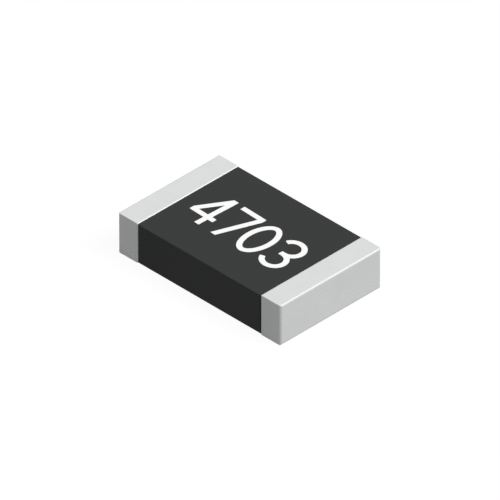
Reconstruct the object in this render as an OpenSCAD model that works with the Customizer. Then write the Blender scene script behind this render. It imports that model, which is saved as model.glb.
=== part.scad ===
// Thick-film chip resistor for surface mounting, with a black epoxy jacket and a termination
// wrapped round each end. Millimetres. The origin is the centre of the seating plane, +X runs
// along the chip to its right end and +Z is up.
// Each coat is cut by the pieces that it lies on, so neighbours meet face to face.

/* [Chip] */
// Length over the terminations
chip_len = 6.35; // [5.6:0.05:7.2]
// Width over the terminations
chip_w = 3.94; // [3.2:0.02:4.6]
// Height over the terminations
chip_h = 1.34; // [0.8:0.02:1.8]

/* [Terminations] */
// Reach of a termination along the chip, from its end face
cap_reach = 0.77; // [0.5:0.01:1]
// Thickness of the tin plating
tin_t = 0.015; // [0.012:0.001:0.018]
// Thickness of the nickel barrier under the tin
nickel_t = 0.011; // [0.008:0.001:0.014]
// Thickness of the fired silver on the ends and sides of the ceramic
end_silver_t = 0.045; // [0.035:0.005:0.08]
// Radius of the top and bottom edges of an end face
end_round = 0.06; // [0.04:0.005:0.09]
// Radius of the upright edges of an end face
corner_round = 0.085; // [0.05:0.005:0.12]
// Radius of the long edges of a termination
long_round = 0.016; // [0.01:0.002:0.04]
// Radius of the rim that slopes down to the jacket
rim_round = 0.06; // [0.04:0.005:0.08]
// Thickness of the plating that is left where the rim meets the jacket
rim_lip = 0.004; // [0.002:0.001:0.008]

/* [Jacket] */
// Depth of the jacket below a termination at the sides
side_step = 0.002; // [0.001:0.001:0.01]
// Radius of the jacket's long edges
jacket_round = 0.016; // [0.008:0.002:0.03]
// Radius of the jacket's ends where its sides slope down to the rims
jacket_end_round = 0.06; // [0.04:0.005:0.08]

/* [Substrate] */
// Width of the bevel that scoring and snapping leaves round the ceramic's faces
score_bevel = 0.04; // [0.02:0.005:0.08]

/* [Printed layers] */
// Thickness of a printed silver electrode
electrode_t = 0.012; // [0.008:0.001:0.016]
// Bare ceramic beside an electrode
electrode_margin = 0.2; // [0.1:0.02:0.36]
// Bare ceramic between an electrode and the bevel at the ceramic's end
electrode_end_gap = 0.02; // [0.01:0.005:0.06]
// Length of an electrode on the underside
bottom_electrode_len = 0.6; // [0.4:0.02:0.9]
// Thickness of the resistor film
film_t = 0.012; // [0.008:0.001:0.014]
// Bare ceramic beside the resistor film
film_margin = 0.5; // [0.38:0.02:0.7]
// Distance from the jacket's end in to the film's end
film_setback = 0.2; // [0.16:0.02:0.4]
// Length of film that laps onto each top electrode
film_lap = 0.24; // [0.1:0.02:0.4]
// Thickness of the glass coat over the film
glass_t = 0.012; // [0.008:0.001:0.016]
// Reach of the glass coat past the film, on all sides
glass_lip = 0.1; // [0.06:0.01:0.14]

/* [Laser trim] */
// Width of the cut
kerf_w = 0.06; // [0.04:0.005:0.1]
// Place of the cut's entry along the chip, from the middle
kerf_x = -0.55; // [-1:0.05:0]
// Depth of the cut across the film
kerf_plunge = 1.2; // [0.6:0.05:1.5]
// Length of the cut along the film
kerf_run = 0.95; // [0.4:0.05:1.3]

/* [Hidden] */
$fn = 64;
// Overshoot of a cutting shape past the face that it cuts
over = 0.02;

// Plating on the fired silver, which is also the jacket's depth below a termination on the top
// face and on the underside
plating_t = tin_t + nickel_t;
metal_t = plating_t + end_silver_t;
// Plane where the jacket meets the right-hand termination
rim_x = chip_len / 2 - cap_reach;
// Length over which an arc of radius r, level at first, comes down by drop
function arc_run(r, drop) = sqrt(drop * (2 * r - drop));
// The rim's arc comes down by this much before it is cut off at that plane, and over this length
rim_drop = plating_t - rim_lip;
rim_run = arc_run(rim_round, rim_drop);
// At the sides the jacket's end comes down to the foot of the rim, and over this length
jacket_run = arc_run(jacket_end_round, rim_drop - side_step);

ceramic_len = chip_len - 2 * metal_t;
ceramic_w = chip_w - 2 * metal_t;
ceramic_bottom = metal_t + electrode_t;
ceramic_top = chip_h - metal_t - electrode_t;

// Right-hand ends of the film and of the glass over it, which the jacket seals
film_x = rim_x - film_setback;
film_w = ceramic_w - 2 * film_margin;
glass_x = film_x + glass_lip;
glass_w = film_w + 2 * glass_lip;

electrode_w = ceramic_w - 2 * electrode_margin;
// Outer edge of the electrodes, and their inner edges on the top face and on the underside
electrode_end_x = ceramic_len / 2 - score_bevel - electrode_end_gap;
top_electrode_x = film_x - film_lap;
bottom_electrode_x = electrode_end_x - bottom_electrode_len;

kerf_entry_y = -glass_w / 2;
kerf_turn_y = kerf_plunge - film_w / 2;

// The mirror image of a right-hand piece, at the left-hand end
module at_left() {
    mirror([1, 0, 0]) children();
}

// What a rounding of radius r takes off a corner that points to -X and -Y
module corner_waste(r) {
    if (r > 0) difference() {
        translate([-over, -over]) square(r + over);
        translate([r, r]) circle(r);
    }
}

// Rectangle with corner radius r_low on its low-x side and r_high on its high-x side
module round_rect(low, high, r_low, r_high) {
    difference() {
        translate(low) square(high - low);
        translate(low) corner_waste(r_low);
        translate([low.x, high.y]) mirror([0, 1]) corner_waste(r_low);
        translate([high.x, low.y]) mirror([1, 0]) corner_waste(r_high);
        translate(high) mirror([1, 0]) mirror([0, 1]) corner_waste(r_high);
    }
}

// A side view, drawn as (x, z), carried through a width
module across(w) {
    translate([0, w / 2, 0]) rotate([90, 0, 0]) linear_extrude(w) children();
}

// A section, drawn as (y, z), carried from one place along the chip to another
module along(from, to) {
    translate([from, 0, 0]) rotate([90, 0, 90]) linear_extrude(to - from) children();
}

// The chip's section, drawn in from the outside of the tin at its sides and at its faces
module section(side_in, face_in, r) {
    round_rect([side_in - chip_w / 2, face_in], [chip_w / 2 - side_in, chip_h - face_in], r, r);
}

// Right-hand end of the chip inside one metal coat: rounded in plan, in side view and in section.
// The arc of its rim may run on some way past the rim's plane, which cuts it off.
module end_block(inset, from, r_rim = 0, past = 0) {
    end_x = chip_len / 2 - inset;
    half_w = chip_w / 2 - inset;
    intersection() {
        linear_extrude(chip_h)
            round_rect([from - past, -half_w], [end_x, half_w], r_rim, corner_round - inset);
        across(chip_w)
            round_rect([from - past, inset], [end_x, chip_h - inset], r_rim, end_round - inset);
        along(from, end_x) section(inset, inset, long_round - inset);
    }
}

// The end up to the outside of each coat: the tin laps over the nickel's rim, down to the silver,
// and slopes off to the jacket
module tin_block() {
    end_block(0, rim_x, rim_round, rim_round - rim_run);
}

module nickel_block() {
    end_block(tin_t, rim_x + tin_t);
}

module silver_block(from) {
    end_block(plating_t, from);
}

// Rectangle with its corners bevelled, the bevels running on some way past its top and bottom
module bevel_rect(low, high, b, past = 0) {
    in = b + past;
    polygon([
        [low.x + in, low.y - past], [high.x - in, low.y - past],
        [high.x, low.y + b], [high.x, high.y - b],
        [high.x - in, high.y + past], [low.x + in, high.y + past],
        [low.x, high.y - b], [low.x, low.y + b],
    ]);
}

module ceramic_substrate() {
    half_len = ceramic_len / 2;
    half_w = ceramic_w / 2;
    color("#f1efe8") intersection() {
        across(ceramic_w + 2 * over)
            bevel_rect([-half_len, ceramic_bottom], [half_len, ceramic_top], score_bevel);
        along(-half_len - over, half_len + over)
            bevel_rect([-half_w, ceramic_bottom], [half_w, ceramic_top], score_bevel, over);
    }
}

// Printed silver pad out from an inner edge, between two heights
module printed_pad(inner_x, low_z, high_z) {
    translate([inner_x, -electrode_w / 2, low_z])
        cube([electrode_end_x - inner_x, electrode_w, high_z - low_z]);
}

// An electrode, which as a cutting shape is rooted some way into the ceramic
module top_electrode(root = 0) {
    color("#c9c5bd")
        printed_pad(top_electrode_x, ceramic_top - root, ceramic_top + electrode_t);
}

module bottom_electrode(root = 0) {
    color("#c9c5bd")
        printed_pad(bottom_electrode_x, ceramic_bottom - electrode_t, ceramic_bottom + root);
}

// Upper outline of the prints with t of coats on them, out to end_x: it dips between the electrodes
function print_line(end_x, t) =
    let (dip_x = top_electrode_x - t, low_z = ceramic_top + t, high_z = low_z + electrode_t)
    [[-end_x, high_z], [-dip_x, high_z], [-dip_x, low_z], [dip_x, low_z], [dip_x, high_z], [end_x, high_z]];

function backwards(points) = [for (i = [len(points) - 1:-1:0]) points[i]];

// Side view of all t of coats where they lie on the electrodes and the ceramic
module coat_profile(end_x, t) {
    polygon(concat(print_line(end_x, t), backwards(print_line(end_x, 0))));
}

// The same as a cutting shape, with its foot in the ceramic
module coat_space(end_x, w, t) {
    foot_z = ceramic_top - over;
    across(w) polygon(concat(print_line(end_x, t), [[end_x, foot_z], [-end_x, foot_z]]));
}

// Path of the laser: in across the film from its near side, then along it
module trim_cut() {
    depth = electrode_t + film_t + glass_t + 3 * over;
    translate([0, 0, ceramic_top - 2 * over]) linear_extrude(depth) {
        translate([kerf_x - kerf_w / 2, kerf_entry_y - over])
            square([kerf_w, kerf_turn_y - kerf_entry_y + over]);
        translate([kerf_x, kerf_turn_y - kerf_w / 2]) square([kerf_run, kerf_w]);
        translate([kerf_x, kerf_turn_y]) circle(kerf_w / 2);
        translate([kerf_x + kerf_run, kerf_turn_y]) circle(kerf_w / 2);
    }
}

module resistor_film() {
    color("#3a3430") difference() {
        across(film_w) coat_profile(film_x, film_t);
        trim_cut();
    }
}

module glass_coat() {
    color("#4f6f5f") difference() {
        across(glass_w) coat_profile(glass_x, film_t + glass_t);
        coat_space(film_x, film_w, film_t);
        trim_cut();
    }
}

// The chip between the rims, up to the outside of the jacket, whose sides round off at both ends
module jacket_block() {
    half_w = chip_w / 2 - side_step;
    arc_end_x = rim_x + jacket_end_round - jacket_run;
    intersection() {
        along(-rim_x, rim_x) section(side_step, plating_t, jacket_round);
        linear_extrude(chip_h)
            round_rect([-arc_end_x, -half_w], [arc_end_x, half_w], jacket_end_round, jacket_end_round);
    }
}

// Black sleeve round the four long faces, which also fills the trim cut
module epoxy_jacket() {
    color("#3d3e3e") difference() {
        jacket_block();
        ceramic_substrate();
        for (right = [false, true]) mirror([right ? 0 : 1, 0, 0]) {
            top_electrode(over);
            bottom_electrode(over);
        }
        difference() {
            coat_space(glass_x, glass_w, film_t + glass_t);
            trim_cut();
        }
    }
}

module end_electrode() {
    color("#b9b6ae") difference() {
        silver_block(rim_x);
        ceramic_substrate();
        top_electrode(over);
        bottom_electrode(over);
    }
}

module nickel_barrier() {
    color("#a9a595") difference() {
        nickel_block();
        silver_block(rim_x);
    }
}

module tin_cap() {
    color("#dcdedd") difference() {
        tin_block();
        nickel_block();
        silver_block(rim_x - over);
    }
}

ceramic_substrate();
at_left() top_electrode();  // top_electrode_left
top_electrode();  // top_electrode_right
at_left() bottom_electrode();  // bottom_electrode_left
bottom_electrode();  // bottom_electrode_right
resistor_film();
glass_coat();
epoxy_jacket();
at_left() end_electrode();  // end_electrode_left
end_electrode();  // end_electrode_right
at_left() nickel_barrier();  // nickel_barrier_left
nickel_barrier();  // nickel_barrier_right
at_left() tin_cap();  // tin_cap_left
tin_cap();  // tin_cap_right
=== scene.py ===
"""Looks of a surface-mount chip resistor: satin tin ends, a black epoxy jacket and a printed value code.

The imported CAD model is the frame. Everything is in metres, with the origin in the middle of the seating
plane, +X along the chip to its right end and +Z up from the board.
"""

import logging
import math
from collections.abc import Mapping, Sequence
from dataclasses import dataclass
from enum import Enum
from typing import Any

import bmesh
import bpy
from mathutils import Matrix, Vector


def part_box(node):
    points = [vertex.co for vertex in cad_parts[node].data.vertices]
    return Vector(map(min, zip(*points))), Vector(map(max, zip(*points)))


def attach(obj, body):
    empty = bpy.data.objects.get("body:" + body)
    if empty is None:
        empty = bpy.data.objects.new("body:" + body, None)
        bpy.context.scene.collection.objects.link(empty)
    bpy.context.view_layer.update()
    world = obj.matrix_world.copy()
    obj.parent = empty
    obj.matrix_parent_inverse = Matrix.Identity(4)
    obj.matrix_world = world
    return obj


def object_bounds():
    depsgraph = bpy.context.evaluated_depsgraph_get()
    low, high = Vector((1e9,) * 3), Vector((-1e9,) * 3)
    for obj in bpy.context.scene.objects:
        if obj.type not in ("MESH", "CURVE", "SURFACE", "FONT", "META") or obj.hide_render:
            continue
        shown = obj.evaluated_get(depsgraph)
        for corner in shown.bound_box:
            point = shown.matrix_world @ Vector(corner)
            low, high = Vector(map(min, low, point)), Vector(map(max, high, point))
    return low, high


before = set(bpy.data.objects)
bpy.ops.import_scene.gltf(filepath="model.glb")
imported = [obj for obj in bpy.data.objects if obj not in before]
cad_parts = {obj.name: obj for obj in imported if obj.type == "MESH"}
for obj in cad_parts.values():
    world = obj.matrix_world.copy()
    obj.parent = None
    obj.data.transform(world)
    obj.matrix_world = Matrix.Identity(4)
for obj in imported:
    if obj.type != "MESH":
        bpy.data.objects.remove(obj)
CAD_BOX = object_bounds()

log = logging.getLogger("chip_resistor")

MM = 0.001
BODY = "root"
WHITE = "#ffffff"
# Bands of a wave texture to one unit of its coordinates, at a scale of 1.
WAVE_BANDS = 20 / math.tau


def to_linear(colour: str) -> tuple[float, ...]:
    """Turns an sRGB hex colour into linear light.

    Args:
        colour: Six hex digits after a hash sign.

    Returns:
        Linear red, green and blue, and an alpha of 1.
    """
    shares = [int(colour[i : i + 2], 16) / 255 for i in (1, 3, 5)]
    return (*(s / 12.92 if s <= 0.04045 else ((s + 0.055) / 1.055) ** 2.4 for s in shares), 1.0)


def add_node(
    tree: bpy.types.NodeTree, kind: str, inputs: Mapping[str | int, Any] | None = None, **settings: Any
) -> bpy.types.Node:
    """Adds a shader node with its settings, and fills its inputs.

    Args:
        tree: Node tree of a material or of the world.
        kind: Type of node, without the ShaderNode in front.
        inputs: What goes into each input, by its name or number: a value, or another node's output.
        settings: Values of the node's own properties.

    Returns:
        The new node.
    """
    node = tree.nodes.new("ShaderNode" + kind)
    for name, value in settings.items():
        setattr(node, name, value)
    for key, value in (inputs or {}).items():
        if isinstance(value, bpy.types.NodeSocket):
            tree.links.new(value, node.inputs[key])
        else:
            node.inputs[key].default_value = value
    return node


def per_metre(size_mm: float) -> float:
    """Scale of a texture whose marks are some millimetres across, on coordinates in metres."""
    return 1 / (size_mm * MM)


@dataclass(frozen=True)
class Finish:
    """A surface finish, made as one material that every piece with that finish shares."""

    name: str

    def material(self) -> bpy.types.Material:
        """Makes the material when it is first asked for, and hands out the same one after that.

        Returns:
            The finish as a material.
        """
        made = bpy.data.materials.get(self.name)
        if made is None:
            made = bpy.data.materials.new(self.name)
            made.use_nodes = True
            tree = made.node_tree
            tree.nodes.clear()
            place = add_node(tree, "TexCoord").outputs["Object"]
            surface = add_node(tree, "BsdfPrincipled", self.sockets(tree, place))
            add_node(tree, "OutputMaterial", {"Surface": surface.outputs["BSDF"]})
        return made

    def sockets(self, tree: bpy.types.NodeTree, place: bpy.types.NodeSocket) -> dict[str, Any]:
        """What goes into the surface shader.

        Args:
            tree: The material's node tree.
            place: Object coordinates, in metres.

        Returns:
            A value or an output for each socket that isn't left as it comes.
        """
        raise NotImplementedError


@dataclass(frozen=True)
class PlatedMetal(Finish):
    """Barrel-plated satin metal: an even coat of fine grain, a little hazy in patches."""

    colour: str
    haze_colour: str
    metallic: float
    roughness: tuple[float, float]
    haze_mm: float = 0.6
    # Most of the haze's noise lies between these, and the roughness runs from end to end over them.
    haze_range: tuple[float, float] = (0.3, 0.7)
    # The grain of the plating is a few thousandths across, so it is drawn about ten times as coarse to show.
    grain_mm: float = 0.05
    grain_depth_mm: float = 0.0005

    def sockets(self, tree: bpy.types.NodeTree, place: bpy.types.NodeSocket) -> dict[str, Any]:
        """Haze shifts the tone and the gloss, and the grain is a fine bump.

        Args:
            tree: The material's node tree.
            place: Object coordinates, in metres.

        Returns:
            A value or an output for each socket that isn't left as it comes.
        """
        haze = add_node(
            tree, "TexNoise", {"Vector": place, "Scale": per_metre(self.haze_mm), "Detail": 4.0}
        )
        grain = add_node(
            tree, "TexNoise", {"Vector": place, "Scale": per_metre(self.grain_mm), "Detail": 2.0}
        )
        tone = add_node(
            tree,
            "MixRGB",
            {
                "Fac": haze.outputs["Fac"],
                "Color1": to_linear(self.colour),
                "Color2": to_linear(self.haze_colour),
            },
        )
        gloss = add_node(
            tree,
            "MapRange",
            {
                "Value": haze.outputs["Fac"],
                "From Min": self.haze_range[0],
                "From Max": self.haze_range[1],
                "To Min": self.roughness[0],
                "To Max": self.roughness[1],
            },
        )
        bump = add_node(tree, "Bump", {"Height": grain.outputs["Fac"], "Distance": self.grain_depth_mm * MM})
        return {
            "Base Color": tone.outputs["Color"],
            "Roughness": gloss.outputs["Result"],
            "Normal": bump.outputs["Normal"],
            "Metallic": self.metallic,
            # The plating has no clear layer on it, so its only gloss is the metal's own.
            "Specular IOR Level": 0.0,
        }


@dataclass(frozen=True)
class FilledEpoxy(Finish):
    """Screen-printed black epoxy with silica filler: satin, with a faint flow ripple and fine specks."""

    colour: str
    speck_colour: str
    roughness: float
    specular: float
    ripple_mm: float = 0.28
    ripple_depth_mm: float = 0.0012
    # Filler grains are some thousandths across, so they are drawn several times as coarse to show.
    filler_mm: float = 0.045
    filler_depth_mm: float = 0.0005

    def sockets(self, tree: bpy.types.NodeTree, place: bpy.types.NodeSocket) -> dict[str, Any]:
        """Filler specks lighten the black and roughen it over a soft ripple.

        Args:
            tree: The material's node tree.
            place: Object coordinates, in metres.

        Returns:
            A value or an output for each socket that isn't left as it comes.
        """
        ripple = add_node(
            tree, "TexNoise", {"Vector": place, "Scale": per_metre(self.ripple_mm), "Detail": 1.0}
        )
        filler = add_node(
            tree, "TexNoise", {"Vector": place, "Scale": per_metre(self.filler_mm), "Detail": 2.0}
        )
        tone = add_node(
            tree,
            "MixRGB",
            {
                "Fac": filler.outputs["Fac"],
                "Color1": to_linear(self.colour),
                "Color2": to_linear(self.speck_colour),
            },
        )
        flow = add_node(
            tree, "Bump", {"Height": ripple.outputs["Fac"], "Distance": self.ripple_depth_mm * MM}
        )
        tooth = add_node(
            tree,
            "Bump",
            {
                "Height": filler.outputs["Fac"],
                "Distance": self.filler_depth_mm * MM,
                "Normal": flow.outputs["Normal"],
            },
        )
        return {
            "Base Color": tone.outputs["Color"],
            "Roughness": self.roughness,
            "Specular IOR Level": self.specular,
            "Normal": tooth.outputs["Normal"],
        }


class PasteMark(Enum):
    """How a silver paste was put on, which leaves its own mark in the fired surface."""

    SCREEN = "printed through a mesh"
    DIP = "dipped"


@dataclass(frozen=True)
class SilverPaste(Finish):
    """Silver and glass paste, fired matt: pale and dry, with the marks of how it was put on."""

    colour: str
    glassy_colour: str
    mark: PasteMark
    metallic: float = 0.85
    roughness: float = 0.55
    # Glass rises in spots a hundredth or two across, so they are drawn a few times as coarse to show.
    glass_mm: float = 0.05
    # Threads of the printing screen lie about 16 to the millimetre.
    mesh_mm: float = 0.0625
    sag_mm: float = 0.4
    depth_mm: float = 0.001

    def sockets(self, tree: bpy.types.NodeTree, place: bpy.types.NodeSocket) -> dict[str, Any]:
        """Glass patches darken the silver, over a screen's weave or a dipped coat's sag.

        Args:
            tree: The material's node tree.
            place: Object coordinates, in metres.

        Returns:
            A value or an output for each socket that isn't left as it comes.
        """
        glass = add_node(
            tree, "TexNoise", {"Vector": place, "Scale": per_metre(self.glass_mm), "Detail": 4.0}
        )
        tone = add_node(
            tree,
            "MixRGB",
            {
                "Fac": glass.outputs["Fac"],
                "Color1": to_linear(self.colour),
                "Color2": to_linear(self.glassy_colour),
            },
        )
        if self.mark is PasteMark.SCREEN:
            scale = per_metre(self.mesh_mm) / WAVE_BANDS
            warp, weft = (
                add_node(tree, "TexWave", {"Vector": place, "Scale": scale}, bands_direction=way)
                for way in "XY"
            )
            relief = add_node(
                tree, "Math", {0: warp.outputs["Fac"], 1: weft.outputs["Fac"]}, operation="MULTIPLY"
            )
        else:
            relief = add_node(
                tree, "TexNoise", {"Vector": place, "Scale": per_metre(self.sag_mm), "Detail": 2.0}
            )
        bump = add_node(tree, "Bump", {"Height": relief.outputs[0], "Distance": self.depth_mm * MM})
        return {
            "Base Color": tone.outputs["Color"],
            "Metallic": self.metallic,
            "Roughness": self.roughness,
            "Normal": bump.outputs["Normal"],
        }


@dataclass(frozen=True)
class FiredCeramic(Finish):
    """Pressed or printed ceramic after firing: crystal grain that shows as a fine dry mottle."""

    colour: str
    grain_colour: str
    roughness: float
    specular: float
    # Crystals are a few thousandths across, so they are drawn several times as coarse to show.
    grain_mm: float
    # How much a crystal stands up, as a share of its width, and how fully that is shaded.
    relief: float = 0.02
    relief_strength: float = 0.5

    def sockets(self, tree: bpy.types.NodeTree, place: bpy.types.NodeSocket) -> dict[str, Any]:
        """Each crystal has its own tone and stands at its own height.

        Args:
            tree: The material's node tree.
            place: Object coordinates, in metres.

        Returns:
            A value or an output for each socket that isn't left as it comes.
        """
        crystals = add_node(tree, "TexVoronoi", {"Vector": place, "Scale": per_metre(self.grain_mm)})
        tone = add_node(
            tree,
            "MixRGB",
            {
                "Fac": crystals.outputs["Distance"],
                "Color1": to_linear(self.colour),
                "Color2": to_linear(self.grain_colour),
            },
        )
        bump = add_node(
            tree,
            "Bump",
            {
                "Height": crystals.outputs["Distance"],
                "Distance": self.relief * self.grain_mm * MM,
                "Strength": self.relief_strength,
            },
        )
        return {
            "Base Color": tone.outputs["Color"],
            "Roughness": self.roughness,
            "Specular IOR Level": self.specular,
            "Normal": bump.outputs["Normal"],
        }


@dataclass(frozen=True)
class OvercoatGlass(Finish):
    """Green overcoat glass, fired smooth over the film: glossy, with a few small bubbles."""

    colour: str
    bubble_colour: str
    roughness: float = 0.12
    ior: float = 1.52
    coat: float = 0.3
    # Bubbles lie about this far apart, and each fades out between these shares of that from its middle.
    bubble_mm: float = 0.09
    bubble_edge: tuple[float, float] = (0.1, 0.25)

    def sockets(self, tree: bpy.types.NodeTree, place: bpy.types.NodeSocket) -> dict[str, Any]:
        """Bubbles are pale round spots under a clear gloss.

        Args:
            tree: The material's node tree.
            place: Object coordinates, in metres.

        Returns:
            A value or an output for each socket that isn't left as it comes.
        """
        cells = add_node(tree, "TexVoronoi", {"Vector": place, "Scale": per_metre(self.bubble_mm)})
        spot = add_node(
            tree,
            "MapRange",
            {
                "Value": cells.outputs["Distance"],
                "From Min": self.bubble_edge[0],
                "From Max": self.bubble_edge[1],
                "To Min": 1.0,
                "To Max": 0.0,
            },
        )
        tone = add_node(
            tree,
            "MixRGB",
            {
                "Fac": spot.outputs["Result"],
                "Color1": to_linear(self.colour),
                "Color2": to_linear(self.bubble_colour),
            },
        )
        return {
            "Base Color": tone.outputs["Color"],
            "Roughness": self.roughness,
            "IOR": self.ior,
            "Coat Weight": self.coat,
        }


@dataclass(frozen=True)
class PrintInk(Finish):
    """White epoxy marking ink: opaque and matt, slightly uneven where the pad or screen let go."""

    colour: str
    thin_colour: str
    roughness: float = 0.6
    specular: float = 0.3
    mottle_mm: float = 0.12
    mottle_depth_mm: float = 0.001

    def sockets(self, tree: bpy.types.NodeTree, place: bpy.types.NodeSocket) -> dict[str, Any]:
        """Thin spots let a little of the ground through, and the film stands unevenly.

        Args:
            tree: The material's node tree.
            place: Object coordinates, in metres.

        Returns:
            A value or an output for each socket that isn't left as it comes.
        """
        mottle = add_node(
            tree, "TexNoise", {"Vector": place, "Scale": per_metre(self.mottle_mm), "Detail": 3.0}
        )
        tone = add_node(
            tree,
            "MixRGB",
            {
                "Fac": mottle.outputs["Fac"],
                "Color1": to_linear(self.colour),
                "Color2": to_linear(self.thin_colour),
            },
        )
        bump = add_node(
            tree, "Bump", {"Height": mottle.outputs["Fac"], "Distance": self.mottle_depth_mm * MM}
        )
        return {
            "Base Color": tone.outputs["Color"],
            "Roughness": self.roughness,
            "Specular IOR Level": self.specular,
            "Normal": bump.outputs["Normal"],
        }


# Matte tin, barrel-plated: silver-white satin. Its crystals scatter most of the light, so it is bright and
# even, with a broad sheen where the lamp is mirrored.
SATIN_TIN = PlatedMetal("satin_tin", "#dfe1e0", "#d6d8d7", metallic=0.275, roughness=(0.26, 0.32))
# Nickel, plated before the tin: a darker and slightly yellow satin metal.
NICKEL = PlatedMetal("plated_nickel", "#b3ad9c", "#a6a08f", metallic=1.0, roughness=(0.3, 0.4))
# Epoxy filled with silica, printed and cured: a charcoal black that hardly shines.
BLACK_EPOXY = FilledEpoxy("black_filled_epoxy", "#2c2d2d", "#303131", roughness=0.5, specular=0.1)
# Silver paste, screen-printed and fired: pale, warm and dry, with the screen's weave left in it.
PRINTED_SILVER = SilverPaste("printed_silver", "#cbc7bd", "#aaa69c", PasteMark.SCREEN)
# Silver paste, dipped and fired: a little darker than the printed one, with soft sags.
FIRED_SILVER = SilverPaste("fired_silver", "#bfbbb1", "#9d998f", PasteMark.DIP)
# Alumina, pressed and fired: off-white and dry, with a fine mottle.
ALUMINA = FiredCeramic("alumina_96", "#f3f0e9", "#e4e0d7", roughness=0.7, specular=0.4, grain_mm=0.03)
# Ruthenium oxide and glass, printed and fired: brown-black, with a dull gloss.
RUTHENIUM_PASTE = FiredCeramic(
    "ruthenium_oxide_paste", "#37312d", "#4a423c", roughness=0.4, specular=0.5, grain_mm=0.02
)
# Overcoat glass, printed and fired: mid green and shiny.
GREEN_GLASS = OvercoatGlass("green_overcoat_glass", "#52745f", "#7f9c8a")
# Epoxy marking ink, printed and cured: an opaque, matt white.
WHITE_INK = PrintInk("white_marking_ink", "#fdfdfc", "#f8f8f6")


def dress_node(name: str, finish: Finish) -> None:
    """Gives a CAD node its finish.

    Args:
        name: The node.
        finish: What its whole surface is made of.
    """
    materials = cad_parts[name].data.materials
    materials.clear()
    materials.append(finish.material())
    log.info("%s: %s", name, finish.name)


class Side(Enum):
    """End of the chip."""

    LEFT = "left"
    RIGHT = "right"


@dataclass
class Termination:
    """The metal of one end: printed pads, fired silver round the ceramic, a nickel barrier and satin tin."""

    side: Side
    coats: Sequence[tuple[str, Finish]] = (
        ("top_electrode", PRINTED_SILVER),
        ("bottom_electrode", PRINTED_SILVER),
        ("end_electrode", FIRED_SILVER),
        ("nickel_barrier", NICKEL),
        ("tin_cap", SATIN_TIN),
    )

    def dress(self) -> None:
        """Gives each coat of this end its finish."""
        for coat, finish in self.coats:
            dress_node(f"{coat}_{self.side.value}", finish)


@dataclass
class ResistorBody:
    """What lies between the ends: ceramic, the trimmed film, its glass and the black jacket."""

    layers: Sequence[tuple[str, Finish]] = (
        ("ceramic_substrate", ALUMINA),
        ("resistor_film", RUTHENIUM_PASTE),
        ("glass_coat", GREEN_GLASS),
        ("epoxy_jacket", BLACK_EPOXY),
    )

    def dress(self) -> None:
        """Gives each layer its finish."""
        for layer, finish in self.layers:
            dress_node(layer, finish)


class Digit(Enum):
    """Digits that the value code uses."""

    ZERO = "0"
    THREE = "3"
    FOUR = "4"
    SEVEN = "7"


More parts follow.
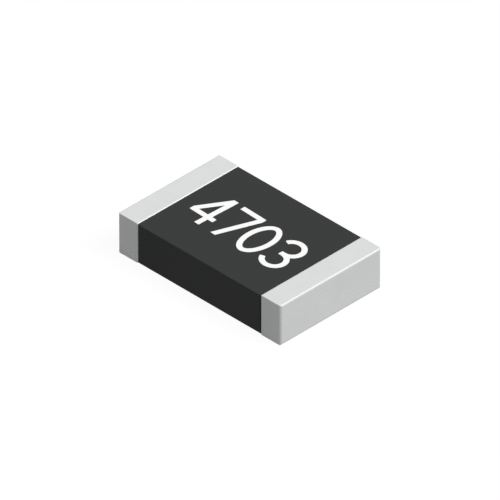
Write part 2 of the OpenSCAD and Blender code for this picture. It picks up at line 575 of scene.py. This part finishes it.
@dataclass
class ValueCode:
    """The printed value: three figures and a power of ten, 470 kilohms. Sizes are in millimetres."""

    digits: Sequence[Digit] = (Digit.FOUR, Digit.SEVEN, Digit.ZERO, Digit.THREE)
    width: float = 0.92
    height: float = 1.52
    stroke: float = 0.17
    pitch: float = 0.97
    oval_sides: int = 72
    # The 3 and the 7 are a little narrower than the rest, and measure this share of the width.
    narrow_share: float = 0.96
    # The upper bowl of the 3 is open between these angles, and the bar is this share of the width.
    bowl_gap_deg: tuple[float, float] = (160, 270)
    three_bar_share: float = 0.12
    # The stem of the 4 starts this share of the width right of the middle, and its bar this share of the
    # height below it.
    stem_share: float = 0.12
    four_bar_share: float = 0.27
    # The leg of the 7 leans over by this share of the width.
    lean_share: float = 0.5
    # The print sits a little below the middle of the jacket and is turned a little clockwise.
    centre: tuple[float, float] = (-0.005, -0.08)
    turn_deg: float = -2.3
    ink: float = 0.012
    # The ink keys into the jacket, so no gap shows under it.
    sunk: float = 0.002
    # Corners sharper than this are rounded, and the joints of an oval's sides aren't.
    free_corner_deg: float = 140
    corner: float = 0.02
    corner_steps: int = 3
    # Edges of the ink that turn by more than this angle are rounded, by this share of its thickness.
    edge_deg: float = 60
    edge_share: float = 0.35
    edge_steps: int = 2
    smooth_deg: float = 35
    # Points nearer than these are joined, where the two bowls of the 3 meet and in the whole print.
    mirror_seam: float = 0.001
    weld: float = 0.0005

    def build(self) -> bpy.types.Object:
        """Draws the digits flat, one object, then gives the ink its thickness and puts it on the jacket.

        Returns:
            The print, at the origin with its place in its mesh.
        """
        drawn = {
            Digit.ZERO: self.zero,
            Digit.THREE: self.three,
            Digit.FOUR: self.four,
            Digit.SEVEN: self.seven,
        }
        pieces = []
        for i, digit in enumerate(self.digits):
            piece = drawn[digit]()
            self.round_corners(piece)
            piece.location.x = (i - (len(self.digits) - 1) / 2) * self.pitch
            pieces.append(piece)
        bpy.ops.object.select_all(action="DESELECT")
        for piece in pieces:
            piece.select_set(True)
        bpy.context.view_layer.objects.active = pieces[0]
        bpy.ops.object.transform_apply()
        bpy.ops.object.join()
        code = bpy.context.object
        code.name = code.data.name = "value_code"
        self.thicken(code)
        self.place(code)
        return code

    def dress(self, code: bpy.types.Object) -> None:
        """Inks the print and fixes it to the chip.

        Args:
            code: The print.
        """
        code.data.materials.clear()
        code.data.materials.append(WHITE_INK.material())
        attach(code, BODY)
        log.info("%s: %s", code.name, WHITE_INK.name)

    def start(self, low: tuple[float, float], high: tuple[float, float]) -> bpy.types.Object:
        """Adds a rectangle and leaves it in edit mode, with edges to be picked.

        Args:
            low: Its lower left corner.
            high: Its upper right corner.

        Returns:
            The new object.
        """
        middle = ((low[0] + high[0]) / 2, (low[1] + high[1]) / 2, 0)
        bpy.ops.object.select_all(action="DESELECT")
        bpy.ops.mesh.primitive_plane_add(size=1, location=middle)
        piece = bpy.context.object
        piece.scale = (high[0] - low[0], high[1] - low[1], 1)
        bpy.ops.object.transform_apply()
        bpy.ops.object.mode_set(mode="EDIT")
        bpy.ops.mesh.select_mode(type="EDGE")
        return piece

    def pick(self, piece: bpy.types.Object, *middles: tuple[float, float]) -> None:
        """Selects only the edges whose middles are nearest to some places.

        Args:
            piece: The digit, in edit mode.
            middles: The places, one for each edge.
        """
        bpy.ops.mesh.select_all(action="DESELECT")
        mesh = bmesh.from_edit_mesh(piece.data)
        for x, y in middles:
            aim = Vector((x, y, 0))
            nearest = min(mesh.edges, key=lambda e: ((e.verts[0].co + e.verts[1].co) / 2 - aim).length)
            nearest.select_set(True)
        bmesh.update_edit_mesh(piece.data)

    def draw_on(self, *steps: tuple[float, float]) -> None:
        """Extrudes the picked edge by some steps, one after the other.

        Args:
            steps: How far each one goes along X and Y.
        """
        for x, y in steps:
            bpy.ops.mesh.extrude_edges_move(TRANSFORM_OT_translate={"value": (x, y, 0)})

    def oval(self, width: float, height: float, middle_y: float) -> bpy.types.Object:
        """Adds an oval ring one stroke wide and leaves it in edit mode.

        Args:
            width: Its width outside.
            height: Its height outside.
            middle_y: The height of its middle.

        Returns:
            The new object.
        """
        bpy.ops.object.select_all(action="DESELECT")
        bpy.ops.mesh.primitive_circle_add(
            vertices=self.oval_sides, radius=0.5, fill_type="NGON", location=(0, middle_y, 0)
        )
        piece = bpy.context.object
        piece.scale = (width, height, 1)
        bpy.ops.object.transform_apply()
        bpy.ops.object.mode_set(mode="EDIT")
        bpy.ops.mesh.select_all(action="SELECT")
        bpy.ops.mesh.inset(thickness=self.stroke, use_even_offset=True)
        bpy.ops.mesh.delete(type="FACE")
        return piece

    def zero(self) -> bpy.types.Object:
        """An oval ring of the whole height.

        Returns:
            The digit, drawn flat.
        """
        piece = self.oval(self.width, self.height, 0)
        bpy.ops.object.mode_set(mode="OBJECT")
        return piece

    def three(self) -> bpy.types.Object:
        """The upper bowl, cut open at the left and run in to a short bar, mirrored in the middle line.

        Returns:
            The digit, drawn flat.
        """
        bowl_h = (self.height + self.stroke) / 2
        middle_y = (bowl_h - self.stroke) / 2
        piece = self.oval(self.narrow_share * self.width, bowl_h, middle_y)
        bpy.ops.mesh.select_mode(type="FACE")
        mesh = bmesh.from_edit_mesh(piece.data)
        for face in mesh.faces:
            spot = face.calc_center_median() - Vector((0, middle_y, 0))
            angle = math.degrees(math.atan2(spot.y / bowl_h, spot.x / self.width)) % 360
            face.select_set(self.bowl_gap_deg[0] < angle < self.bowl_gap_deg[1])
        bmesh.update_edit_mesh(piece.data)
        bpy.ops.mesh.delete(type="FACE")
        bpy.ops.mesh.select_mode(type="EDGE")
        self.pick(piece, (0, 0))
        self.draw_on((-self.three_bar_share * self.width, 0))
        bpy.ops.mesh.select_all(action="SELECT")
        bpy.ops.mesh.bisect(plane_co=(0, 0, 0), plane_no=(0, 1, 0), clear_inner=True)
        bpy.ops.object.mode_set(mode="OBJECT")
        mirror = piece.modifiers.new("lower_bowl", "MIRROR")
        mirror.use_axis = (False, True, False)
        mirror.merge_threshold = self.mirror_seam
        bpy.ops.object.modifier_apply(modifier=mirror.name)
        return piece

    def four(self) -> bpy.types.Object:
        """Stem and bar, extruded four ways from where they cross, with the slope bridged between them.

        Returns:
            The digit, drawn flat.
        """
        left, right, top = -self.width / 2, self.width / 2, self.height / 2
        stem_left, bar_bottom = self.stem_share * self.width, -self.four_bar_share * self.height
        stem_right, bar_top = stem_left + self.stroke, bar_bottom + self.stroke
        slope = math.atan2(top - bar_top, stem_left - left)
        foot_w, head_h = self.stroke / math.sin(slope), self.stroke / math.cos(slope)
        mid_x, mid_y = (stem_left + stem_right) / 2, (bar_bottom + bar_top) / 2
        piece = self.start((stem_left, bar_bottom), (stem_right, bar_top))
        self.pick(piece, (mid_x, bar_bottom))
        self.draw_on((0, -top - bar_bottom))
        self.pick(piece, (stem_right, mid_y))
        self.draw_on((right - stem_right, 0))
        self.pick(piece, (mid_x, bar_top))
        self.draw_on((0, top - head_h - bar_top), (0, head_h))
        self.pick(piece, (stem_left, mid_y))
        self.draw_on((left + foot_w - stem_left, 0), (-foot_w, 0))
        self.pick(piece, (left + foot_w / 2, bar_top), (stem_left, top - head_h / 2))
        bpy.ops.mesh.bridge_edge_loops()
        bpy.ops.object.mode_set(mode="OBJECT")
        return piece

    def seven(self) -> bpy.types.Object:
        """The bar, with the leg extruded from under its right end.

        Returns:
            The digit, drawn flat.
        """
        right, top = self.narrow_share * self.width / 2, self.height / 2
        drop, lean = self.height - self.stroke, self.lean_share * self.width
        leg_w = self.stroke * math.hypot(drop, lean) / drop
        piece = self.start((right - leg_w, top - self.stroke), (right, top))
        self.pick(piece, (right - leg_w, top - self.stroke / 2))
        self.draw_on((leg_w - 2 * right, 0))
        self.pick(piece, (right - leg_w / 2, top - self.stroke))
        self.draw_on((-lean, -drop))
        bpy.ops.object.mode_set(mode="OBJECT")
        return piece

    def round_corners(self, piece: bpy.types.Object) -> None:
        """Rounds the free corners of a digit a little, as ink draws them in.

        Args:
            piece: The digit, drawn flat.
        """
        bpy.ops.object.select_all(action="DESELECT")
        piece.select_set(True)
        bpy.context.view_layer.objects.active = piece
        bpy.ops.object.mode_set(mode="EDIT")
        bpy.ops.mesh.select_mode(type="VERT")
        bpy.ops.mesh.select_all(action="DESELECT")
        mesh = bmesh.from_edit_mesh(piece.data)
        for vert in mesh.verts:
            if len(vert.link_edges) == 2:
                sides = [edge.other_vert(vert).co - vert.co for edge in vert.link_edges]
                vert.select_set(sides[0].angle(sides[1]) < math.radians(self.free_corner_deg))
        bmesh.update_edit_mesh(piece.data)
        bpy.ops.mesh.bevel(offset=self.corner, segments=self.corner_steps, affect="VERTICES")
        bpy.ops.object.mode_set(mode="OBJECT")

    def thicken(self, code: bpy.types.Object) -> None:
        """Gives the flat print the ink's thickness and soft edges.

        Args:
            code: The print, drawn flat.
        """
        bpy.ops.object.mode_set(mode="EDIT")
        bpy.ops.mesh.select_all(action="SELECT")
        bpy.ops.mesh.remove_doubles(threshold=self.weld)
        bpy.ops.mesh.normals_make_consistent(inside=False)
        bpy.ops.mesh.extrude_region_move(TRANSFORM_OT_translate={"value": (0, 0, self.ink + self.sunk)})
        bpy.ops.mesh.select_all(action="SELECT")
        bpy.ops.mesh.normals_make_consistent(inside=False)
        bpy.ops.object.mode_set(mode="OBJECT")
        edge = code.modifiers.new("ink_edge", "BEVEL")
        edge.width = self.edge_share * self.ink
        edge.segments = self.edge_steps
        edge.limit_method = "ANGLE"
        edge.angle_limit = math.radians(self.edge_deg)
        bpy.ops.object.modifier_apply(modifier=edge.name)
        bpy.ops.object.shade_smooth_by_angle(angle=math.radians(self.smooth_deg))
        flat_top = code.modifiers.new("flat_top", "WEIGHTED_NORMAL")
        flat_top.keep_sharp = True
        bpy.ops.object.modifier_apply(modifier=flat_top.name)

    def place(self, code: bpy.types.Object) -> None:
        """Turns the print and puts it down on the jacket, in metres.

        Args:
            code: The print, in millimetres about its own middle.
        """
        jacket_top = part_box("epoxy_jacket")[1].z
        code.rotation_euler.z = math.radians(self.turn_deg)
        code.scale = (MM, MM, MM)
        code.location = (self.centre[0] * MM, self.centre[1] * MM, jacket_top - self.sunk * MM)
        bpy.ops.object.transform_apply()


@dataclass
class Studio:
    """Floor, light and camera. Sizes are in millimetres."""

    floor_mm: float = 240
    # Share of the floor's white that is its own, so that the chip's shadow stays faint on it.
    floor_glow: float = 0.95
    # What the floor throws back on to the chip.
    floor_grey: str = "#5a5a5a"
    # Strength of the light from all round.
    ambient: float = 0.165
    key_strength: float = 3.24
    key_elevation_deg: float = 55
    key_azimuth_deg: float = 20
    key_softness_deg: float = 30
    # A long lens far off gives the even scale of an isometric view.
    lens_mm: float = 1600
    sensor_mm: float = 36
    near_clip_mm: float = 10
    # Width of the picture at the chip.
    view_mm: float = 13.811
    # The camera is as far to the right of the chip as in front of it and above it.
    camera_side: tuple[float, float, float] = (1, -1, 1)
    # The chip sits a hair left of and above the middle of the picture.
    aim_mm: tuple[float, float] = (0.014, -0.003)

    def build(self) -> None:
        """Sets up the floor, the light and the camera."""
        bpy.context.scene.view_settings.view_transform = "Standard"
        self.lay_floor()
        self.light_world()
        self.hang_key()
        self.aim_camera()

    def seen_directly(self, tree: bpy.types.NodeTree) -> bpy.types.NodeSocket:
        """Tells a look at the floor or the world from the light that it gives to other things.

        Args:
            tree: Node tree of the floor or the world.

        Returns:
            An output that is 1 for the camera, a reflection or something clear, and 0 for other light.
        """
        path = add_node(tree, "LightPath").outputs
        mirrored = add_node(
            tree, "Math", {0: path["Is Camera Ray"], 1: path["Is Glossy Ray"]}, operation="MAXIMUM"
        )
        through = add_node(
            tree, "Math", {0: mirrored.outputs[0], 1: path["Is Transmission Ray"]}, operation="MAXIMUM"
        )
        return through.outputs[0]

    def lay_floor(self) -> None:
        """A plain pale floor under the chip, which takes its shadow."""
        bpy.ops.object.select_all(action="DESELECT")
        bpy.ops.mesh.primitive_plane_add(size=self.floor_mm * MM)
        floor = bpy.context.object
        floor.name = "floor"
        material = bpy.data.materials.new("pale_floor")
        material.use_nodes = True
        tree = material.node_tree
        tree.nodes.clear()
        grey = add_node(tree, "BsdfDiffuse", {"Color": to_linear(self.floor_grey)})
        pale = add_node(tree, "BsdfDiffuse", {"Color": to_linear(WHITE)})
        glow = add_node(tree, "Emission", {"Color": to_linear(WHITE), "Strength": 1.0})
        shown = add_node(
            tree, "MixShader", {0: self.floor_glow, 1: pale.outputs["BSDF"], 2: glow.outputs["Emission"]}
        )
        either = add_node(
            tree,
            "MixShader",
            {0: self.seen_directly(tree), 1: grey.outputs["BSDF"], 2: shown.outputs["Shader"]},
        )
        add_node(tree, "OutputMaterial", {"Surface": either.outputs["Shader"]})
        floor.data.materials.append(material)

    def light_world(self) -> None:
        """A white surround that gives the chip only a low, even light."""
        world = bpy.data.worlds.new("studio")
        bpy.context.scene.world = world
        world.use_nodes = True
        tree = world.node_tree
        tree.nodes.clear()
        strength = add_node(
            tree,
            "Math",
            {0: self.seen_directly(tree), 1: 1 - self.ambient, 2: self.ambient},
            operation="MULTIPLY_ADD",
        )
        surround = add_node(
            tree, "Background", {"Color": to_linear(WHITE), "Strength": strength.outputs[0]}
        )
        add_node(tree, "OutputWorld", {"Surface": surround.outputs["Background"]})

    def hang_key(self) -> None:
        """One broad, soft lamp, high over the right-hand end and a little behind it."""
        lamp = bpy.data.lights.new("key", "SUN")
        lamp.energy = self.key_strength
        lamp.angle = math.radians(self.key_softness_deg)
        key = bpy.data.objects.new("key", lamp)
        bpy.context.scene.collection.objects.link(key)
        up, around = math.radians(self.key_elevation_deg), math.radians(self.key_azimuth_deg)
        towards = Vector((math.cos(up) * math.cos(around), math.cos(up) * math.sin(around), math.sin(up)))
        key.rotation_euler = towards.to_track_quat("Z", "Y").to_euler()

    def aim_camera(self) -> None:
        """Looks at the middle of the chip along an isometric direction."""
        camera = bpy.data.objects.new("camera", bpy.data.cameras.new("camera"))
        bpy.context.scene.collection.objects.link(camera)
        camera.data.lens = self.lens_mm
        camera.data.sensor_width = self.sensor_mm
        camera.data.clip_start = self.near_clip_mm * MM
        back = Vector(self.camera_side).normalized()
        right = Vector((0, 0, 1)).cross(back).normalized()
        up = back.cross(right)
        target = (CAD_BOX[0] + CAD_BOX[1]) / 2 + (right * self.aim_mm[0] + up * self.aim_mm[1]) * MM
        camera.location = target + back * self.view_mm * MM * self.lens_mm / self.sensor_mm
        camera.rotation_euler = (-back).to_track_quat("-Z", "Y").to_euler()
        bpy.context.scene.camera = camera


def main() -> None:
    """Dresses the chip from the inside out, prints its value and sets up the studio."""
    logging.basicConfig(level=logging.INFO, format="%(name)s: %(message)s")
    ResistorBody().dress()
    for side in Side:
        Termination(side).dress()
    code = ValueCode()
    code.dress(code.build())
    Studio().build()


if __name__ == "__main__":
    main()
